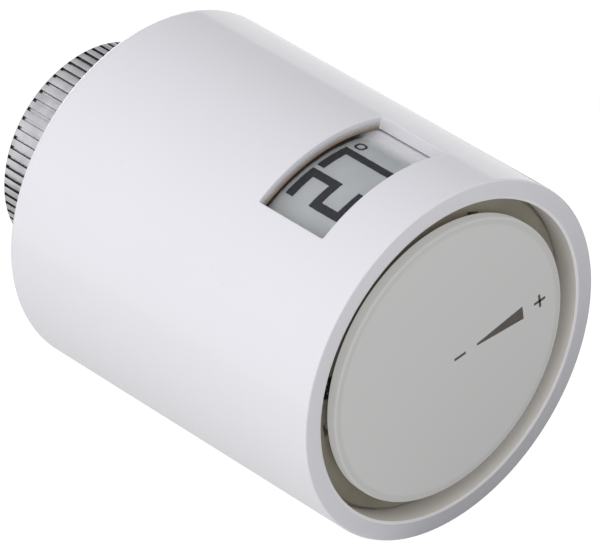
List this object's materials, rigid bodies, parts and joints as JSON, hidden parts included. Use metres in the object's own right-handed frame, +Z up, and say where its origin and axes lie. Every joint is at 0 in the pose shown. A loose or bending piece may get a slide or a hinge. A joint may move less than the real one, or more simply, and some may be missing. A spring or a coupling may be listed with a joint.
{
  "type": "thermostatic radiator valve head",
  "caption": "Round battery powered radiator valve head with a turning sleeve, a display window on top, a floating face disc and a knurled union nut.",
  "frame": {"origin": "centre of the mouth of the union nut, where the head screws onto the valve", "axes": "+Y along the head's axis, out of the nut towards the valve; the setting face looks along -Y; +Z up, with the display window on top"},
  "size_m": [0.058, 0.08, 0.058],
  "materials": {
    "white_shell": "satin moulded",
    "lens_smoke": "frosted clear",
    "face_grey": "satin",
    "floor_olive": "fine matt texture",
    "nickel": "satin nickel plated",
    "spring_steel": "drawn wire",
    "black_nylon": "glass filled",
    "light_nylon": "natural",
    "acetal": "low friction",
    "cell_label": "shrink label",
    "contact_plate": "nickel plated strip",
    "board_green": "solder mask",
    "chip_black": "moulded packages",
    "shield_tin": "tin plated",
    "display_glass": "segment display",
    "ribbon_amber": "polyimide",
    "motor_steel": "zinc plated",
    "brass": "machined",
    "rubber": "moulded",
    "magnet": "nickel plated"
  },
  "bodies": {
    "root": {"mounting_neck": "black_nylon", "nut_retaining_ring": "spring_steel", "turn_ring_circlip": "spring_steel", "centring_spring": "spring_steel", "chassis": "light_nylon", "chassis_screws": "spring_steel", "cap_screws": "spring_steel", "front_cap": "floor_olive", "guide_ring": "acetal", "disc_carrier": "light_nylon", "face_disc": "face_grey", "face_disc_backing": "face_grey", "battery_left": "cell_label", "battery_right": "cell_label", "contact_spring_left": "spring_steel", "contact_spring_right": "spring_steel", "positive_contact": "contact_plate", "bridge_contact": "contact_plate", "main_board": "board_green", "board_components": "chip_black", "radio_module": "shield_tin", "hall_sensors": "chip_black", "temperature_sensor": "chip_black", "board_screws": "spring_steel", "window_lens": "lens_smoke", "display_panel": "display_glass", "display_carrier": "light_nylon", "display_ribbon": "ribbon_amber", "gearbox_base": "black_nylon", "gearbox_cover": "black_nylon", "gearbox_screws": "spring_steel", "gear_axles": "spring_steel", "thrust_washer": "acetal", "motor_can": "motor_steel", "motor_end_cap": "black_nylon", "motor_terminals": "contact_plate", "motor_damper": "rubber"},
    "turn_ring": {"turn_ring": "light_nylon", "setting_magnet": "magnet"},
    "sleeve": {"setting_sleeve": "white_shell"},
    "union_nut": {"union_nut": "nickel"},
    "motor_rotor": {"motor_shaft": "spring_steel", "motor_pinion": "brass", "motor_armature": "motor_steel"},
    "gear_one": {"gear_one": "acetal"},
    "gear_two": {"gear_two": "acetal"},
    "output_gear": {"output_gear": "acetal"},
    "plunger": {"plunger": "black_nylon", "plunger_tip": "brass"}
  },
  "joints": [
    {"name": "setting_turn", "type": "hinge", "parent": "root", "child": "turn_ring", "pos_m": [0, -0.0157, 0], "axis": [0, -1, 0], "range_deg": [-12, 12], "stiffness_Nm_per_rad": 0.35, "deforming": ["centring_spring"]},
    {"name": "sleeve_pull", "type": "slide", "parent": "turn_ring", "child": "sleeve", "axis": [0, -1, 0], "range_m": [0, 0.07]},
    {"name": "nut_turn", "type": "hinge", "parent": "root", "child": "union_nut", "pos_m": [0, -0.007, 0], "axis": [0, -1, 0], "continuous": true},
    {"name": "motor_spin", "type": "hinge", "parent": "root", "child": "motor_rotor", "pos_m": [-0.0064, -0.038, 0.00834], "axis": [0, -1, 0], "range_deg": [-1, 69121]},
    {"name": "gear_one_spin", "type": "hinge", "parent": "root", "child": "gear_one", "pos_m": [0.00006, -0.035, 0.01069], "axis": [0, -1, 0], "range_deg": [-17281, 1]},
    {"name": "gear_two_spin", "type": "hinge", "parent": "root", "child": "gear_two", "pos_m": [0.00878, -0.033, 0.00662], "axis": [0, -1, 0], "range_deg": [-1, 4321]},
    {"name": "output_spin", "type": "hinge", "parent": "root", "child": "output_gear", "pos_m": [0, -0.032, 0], "axis": [0, -1, 0], "range_deg": [-1081, 1]},
    {"name": "plunger_slide", "type": "slide", "parent": "root", "child": "plunger", "axis": [0, 1, 0], "range_m": [0, 0.0045]}
  ],
  "couplings": [
    {"joint": "motor_spin", "follows": "plunger_slide", "rad_per_m": 268080},
    {"joint": "gear_one_spin", "follows": "plunger_slide", "rad_per_m": -67021},
    {"joint": "gear_two_spin", "follows": "plunger_slide", "rad_per_m": 16755},
    {"joint": "output_spin", "follows": "plunger_slide", "rad_per_m": -4188.8}
  ]
}
